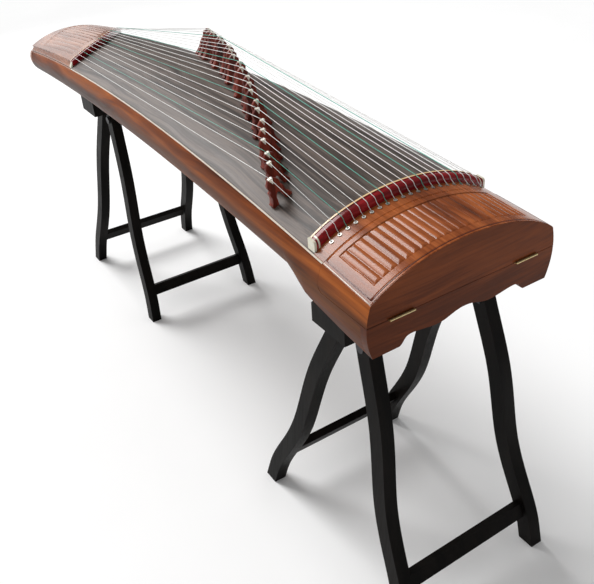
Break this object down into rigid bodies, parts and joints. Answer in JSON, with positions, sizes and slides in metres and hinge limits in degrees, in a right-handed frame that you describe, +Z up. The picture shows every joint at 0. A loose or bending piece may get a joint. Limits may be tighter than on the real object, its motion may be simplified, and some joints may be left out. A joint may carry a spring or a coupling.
{
  "type": "guzheng with stands",
  "caption": "Long arched zither with movable bridges, ribbed head-box lid, tuning pins and two folding A-frame stands.",
  "frame": {"origin": "centre of the whole footprint, on the floor", "axes": "+X towards the head (tuning end), +Y away from the player, +Z up"},
  "size_m": [1.692, 0.3894, 0.7853],
  "materials": {
    "rosewood": "satin lacquer",
    "paulownia": "charred, satin",
    "dark_red_wood": "gloss",
    "bridge_wood": "satin",
    "hard_wood": "oiled",
    "bone": "polished",
    "string": "wound",
    "pin_steel": "polished",
    "brass": "satin",
    "black_wood": "satin lacquer"
  },
  "bodies": {
    "instrument": {"side_panels": "rosewood", "soundboard": "paulownia", "bottom_board": "paulownia", "head_end_panel": "rosewood", "pin_block": "hard_wood", "string_strip": "rosewood", "tail_panel": "rosewood", "head_nut": "dark_red_wood", "tail_nut": "dark_red_wood", "edge_bindings": "bone", "strings": "string", "hinge_fixed_leaves": "brass"},
    "lid": {"head_lid": "rosewood", "hinge_moving_leaves": "brass"},
    "bridge_01": {"bridge_01": "bridge_wood"},
    "bridge_02": {"bridge_02": "bridge_wood"},
    "bridge_03": {"bridge_03": "bridge_wood"},
    "bridge_04": {"bridge_04": "bridge_wood"},
    "bridge_05": {"bridge_05": "bridge_wood"},
    "bridge_06": {"bridge_06": "bridge_wood"},
    "bridge_07": {"bridge_07": "bridge_wood"},
    "bridge_08": {"bridge_08": "bridge_wood"},
    "bridge_09": {"bridge_09": "bridge_wood"},
    "bridge_10": {"bridge_10": "bridge_wood"},
    "bridge_11": {"bridge_11": "bridge_wood"},
    "bridge_12": {"bridge_12": "bridge_wood"},
    "bridge_13": {"bridge_13": "bridge_wood"},
    "bridge_14": {"bridge_14": "bridge_wood"},
    "bridge_15": {"bridge_15": "bridge_wood"},
    "bridge_16": {"bridge_16": "bridge_wood"},
    "bridge_17": {"bridge_17": "bridge_wood"},
    "bridge_18": {"bridge_18": "bridge_wood"},
    "bridge_19": {"bridge_19": "bridge_wood"},
    "bridge_20": {"bridge_20": "bridge_wood"},
    "bridge_21": {"bridge_21": "bridge_wood"},
    "tuning_pin_01": {"tuning_pin_01": "pin_steel"},
    "tuning_pin_02": {"tuning_pin_02": "pin_steel"},
    "tuning_pin_03": {"tuning_pin_03": "pin_steel"},
    "tuning_pin_04": {"tuning_pin_04": "pin_steel"},
    "tuning_pin_05": {"tuning_pin_05": "pin_steel"},
    "tuning_pin_06": {"tuning_pin_06": "pin_steel"},
    "tuning_pin_07": {"tuning_pin_07": "pin_steel"},
    "tuning_pin_08": {"tuning_pin_08": "pin_steel"},
    "tuning_pin_09": {"tuning_pin_09": "pin_steel"},
    "tuning_pin_10": {"tuning_pin_10": "pin_steel"},
    "tuning_pin_11": {"tuning_pin_11": "pin_steel"},
    "tuning_pin_12": {"tuning_pin_12": "pin_steel"},
    "tuning_pin_13": {"tuning_pin_13": "pin_steel"},
    "tuning_pin_14": {"tuning_pin_14": "pin_steel"},
    "tuning_pin_15": {"tuning_pin_15": "pin_steel"},
    "tuning_pin_16": {"tuning_pin_16": "pin_steel"},
    "tuning_pin_17": {"tuning_pin_17": "pin_steel"},
    "tuning_pin_18": {"tuning_pin_18": "pin_steel"},
    "tuning_pin_19": {"tuning_pin_19": "pin_steel"},
    "tuning_pin_20": {"tuning_pin_20": "pin_steel"},
    "tuning_pin_21": {"tuning_pin_21": "pin_steel"},
    "tail_stand_left": {"tail_stand_left_frame": "black_wood"},
    "tail_stand_right": {"tail_stand_right_frame": "black_wood"},
    "head_stand_left": {"head_stand_left_frame": "black_wood"},
    "head_stand_right": {"head_stand_right_frame": "black_wood"}
  },
  "joints": [
    {"name": "lid_hinge", "type": "hinge", "parent": "instrument", "child": "lid", "pos_m": [0.7827, -0.0213, 0.6184], "axis": [0, 1, 0], "range_deg": [0, 120]},
    {"name": "bridge_slide_01", "type": "slide", "parent": "instrument", "child": "bridge_01", "axis": [0.9985, 0, -0.0546], "range_m": [-0.008, 0.008], "deforming": ["strings"]},
    {"name": "bridge_slide_02", "type": "slide", "parent": "instrument", "child": "bridge_02", "axis": [0.9987, 0, -0.0508], "range_m": [-0.008, 0.008], "deforming": ["strings"]},
    {"name": "bridge_slide_03", "type": "slide", "parent": "instrument", "child": "bridge_03", "axis": [0.9988, 0, -0.0482], "range_m": [-0.008, 0.008], "deforming": ["strings"]},
    {"name": "bridge_slide_04", "type": "slide", "parent": "instrument", "child": "bridge_04", "axis": [0.999, 0, -0.0436], "range_m": [-0.008, 0.008], "deforming": ["strings"]},
    {"name": "bridge_slide_05", "type": "slide", "parent": "instrument", "child": "bridge_05", "axis": [0.9992, 0, -0.0404], "range_m": [-0.008, 0.008], "deforming": ["strings"]},
    {"name": "bridge_slide_06", "type": "slide", "parent": "instrument", "child": "bridge_06", "axis": [0.9993, 0, -0.037], "range_m": [-0.008, 0.008], "deforming": ["strings"]},
    {"name": "bridge_slide_07", "type": "slide", "parent": "instrument", "child": "bridge_07", "axis": [0.9995, 0, -0.0315], "range_m": [-0.008, 0.008], "deforming": ["strings"]},
    {"name": "bridge_slide_08", "type": "slide", "parent": "instrument", "child": "bridge_08", "axis": [0.9996, 0, -0.0277], "range_m": [-0.008, 0.008], "deforming": ["strings"]},
    {"name": "bridge_slide_09", "type": "slide", "parent": "instrument", "child": "bridge_09", "axis": [0.9998, 0, -0.0216], "range_m": [-0.008, 0.008], "deforming": ["strings"]},
    {"name": "bridge_slide_10", "type": "slide", "parent": "instrument", "child": "bridge_10", "axis": [0.9998, 0, -0.0174], "range_m": [-0.008, 0.008], "deforming": ["strings"]},
    {"name": "bridge_slide_11", "type": "slide", "parent": "instrument", "child": "bridge_11", "axis": [0.9999, 0, -0.013], "range_m": [-0.008, 0.008], "deforming": ["strings"]},
    {"name": "bridge_slide_12", "type": "slide", "parent": "instrument", "child": "bridge_12", "axis": [1, 0, -0.0062], "range_m": [-0.008, 0.008], "deforming": ["strings"]},
    {"name": "bridge_slide_13", "type": "slide", "parent": "instrument", "child": "bridge_13", "axis": [1, 0, -0.0015], "range_m": [-0.008, 0.008], "deforming": ["strings"]},
    {"name": "bridge_slide_14", "type": "slide", "parent": "instrument", "child": "bridge_14", "axis": [1, 0, 0.0058], "range_m": [-0.008, 0.008], "deforming": ["strings"]},
    {"name": "bridge_slide_15", "type": "slide", "parent": "instrument", "child": "bridge_15", "axis": [0.9999, 0, 0.0108], "range_m": [-0.008, 0.008], "deforming": ["strings"]},
    {"name": "bridge_slide_16", "type": "slide", "parent": "instrument", "child": "bridge_16", "axis": [0.9999, 0, 0.016], "range_m": [-0.008, 0.008], "deforming": ["strings"]},
    {"name": "bridge_slide_17", "type": "slide", "parent": "instrument", "child": "bridge_17", "axis": [0.9997, 0, 0.024], "range_m": [-0.008, 0.008], "deforming": ["strings"]},
    {"name": "bridge_slide_18", "type": "slide", "parent": "instrument", "child": "bridge_18", "axis": [0.9996, 0, 0.0296], "range_m": [-0.008, 0.008], "deforming": ["strings"]},
    {"name": "bridge_slide_19", "type": "slide", "parent": "instrument", "child": "bridge_19", "axis": [0.9993, 0, 0.0382], "range_m": [-0.008, 0.008], "deforming": ["strings"]},
    {"name": "bridge_slide_20", "type": "slide", "parent": "instrument", "child": "bridge_20", "axis": [0.999, 0, 0.0442], "range_m": [-0.008, 0.008], "deforming": ["strings"]},
    {"name": "bridge_slide_21", "type": "slide", "parent": "instrument", "child": "bridge_21", "axis": [0.9987, 0, 0.0505], "range_m": [-0.008, 0.008], "deforming": ["strings"]},
    {"name": "tuning_turn_01", "type": "hinge", "parent": "instrument", "child": "tuning_pin_01", "pos_m": [0.6935, -0.14964, 0.608], "axis": [0, 0, 1], "continuous": true},
    {"name": "tuning_turn_02", "type": "hinge", "parent": "instrument", "child": "tuning_pin_02", "pos_m": [0.7155, -0.13653, 0.608], "axis": [0, 0, 1], "continuous": true},
    {"name": "tuning_turn_03", "type": "hinge", "parent": "instrument", "child": "tuning_pin_03", "pos_m": [0.7375, -0.12341, 0.608], "axis": [0, 0, 1], "continuous": true},
    {"name": "tuning_turn_04", "type": "hinge", "parent": "instrument", "child": "tuning_pin_04", "pos_m": [0.6935, -0.1103, 0.608], "axis": [0, 0, 1], "continuous": true},
    {"name": "tuning_turn_05", "type": "hinge", "parent": "instrument", "child": "tuning_pin_05", "pos_m": [0.7155, -0.09719, 0.608], "axis": [0, 0, 1], "continuous": true},
    {"name": "tuning_turn_06", "type": "hinge", "parent": "instrument", "child": "tuning_pin_06", "pos_m": [0.7375, -0.08407, 0.608], "axis": [0, 0, 1], "continuous": true},
    {"name": "tuning_turn_07", "type": "hinge", "parent": "instrument", "child": "tuning_pin_07", "pos_m": [0.6935, -0.07096, 0.608], "axis": [0, 0, 1], "continuous": true},
    {"name": "tuning_turn_08", "type": "hinge", "parent": "instrument", "child": "tuning_pin_08", "pos_m": [0.7155, -0.05785, 0.608], "axis": [0, 0, 1], "continuous": true},
    {"name": "tuning_turn_09", "type": "hinge", "parent": "instrument", "child": "tuning_pin_09", "pos_m": [0.7375, -0.04474, 0.608], "axis": [0, 0, 1], "continuous": true},
    {"name": "tuning_turn_10", "type": "hinge", "parent": "instrument", "child": "tuning_pin_10", "pos_m": [0.6935, -0.03162, 0.608], "axis": [0, 0, 1], "continuous": true},
    {"name": "tuning_turn_11", "type": "hinge", "parent": "instrument", "child": "tuning_pin_11", "pos_m": [0.7155, -0.01851, 0.608], "axis": [0, 0, 1], "continuous": true},
    {"name": "tuning_turn_12", "type": "hinge", "parent": "instrument", "child": "tuning_pin_12", "pos_m": [0.7375, -0.0054, 0.608], "axis": [0, 0, 1], "continuous": true},
    {"name": "tuning_turn_13", "type": "hinge", "parent": "instrument", "child": "tuning_pin_13", "pos_m": [0.6935, 0.00772, 0.608], "axis": [0, 0, 1], "continuous": true},
    {"name": "tuning_turn_14", "type": "hinge", "parent": "instrument", "child": "tuning_pin_14", "pos_m": [0.7155, 0.02083, 0.608], "axis": [0, 0, 1], "continuous": true},
    {"name": "tuning_turn_15", "type": "hinge", "parent": "instrument", "child": "tuning_pin_15", "pos_m": [0.7375, 0.03394, 0.608], "axis": [0, 0, 1], "continuous": true},
    {"name": "tuning_turn_16", "type": "hinge", "parent": "instrument", "child": "tuning_pin_16", "pos_m": [0.6935, 0.04706, 0.608], "axis": [0, 0, 1], "continuous": true},
    {"name": "tuning_turn_17", "type": "hinge", "parent": "instrument", "child": "tuning_pin_17", "pos_m": [0.7155, 0.06017, 0.608], "axis": [0, 0, 1], "continuous": true},
    {"name": "tuning_turn_18", "type": "hinge", "parent": "instrument", "child": "tuning_pin_18", "pos_m": [0.7375, 0.07328, 0.608], "axis": [0, 0, 1], "continuous": true},
    {"name": "tuning_turn_19", "type": "hinge", "parent": "instrument", "child": "tuning_pin_19", "pos_m": [0.6935, 0.08639, 0.608], "axis": [0, 0, 1], "continuous": true},
    {"name": "tuning_turn_20", "type": "hinge", "parent": "instrument", "child": "tuning_pin_20", "pos_m": [0.7155, 0.09951, 0.608], "axis": [0, 0, 1], "continuous": true},
    {"name": "tuning_turn_21", "type": "hinge", "parent": "instrument", "child": "tuning_pin_21", "pos_m": [0.7375, 0.11262, 0.608], "axis": [0, 0, 1], "continuous": true},
    {"name": "tail_stand_lift", "type": "slide", "parent": "instrument", "child": "tail_stand_left", "axis": [0, 0, -1], "range_m": [0, 0.2]},
    {"name": "tail_stand_fold", "type": "hinge", "parent": "tail_stand_left", "child": "tail_stand_right", "pos_m": [-0.4255, 0.0287, 0.5355], "axis": [0, 1, 0], "range_deg": [0, 28]},
    {"name": "head_stand_lift", "type": "slide", "parent": "instrument", "child": "head_stand_left", "axis": [0, 0, -1], "range_m": [0, 0.2]},
    {"name": "head_stand_fold", "type": "hinge", "parent": "head_stand_left", "child": "head_stand_right", "pos_m": [0.68408, -0.0023, 0.5015], "axis": [0, 1, 0], "range_deg": [0, 28]}
  ]
}
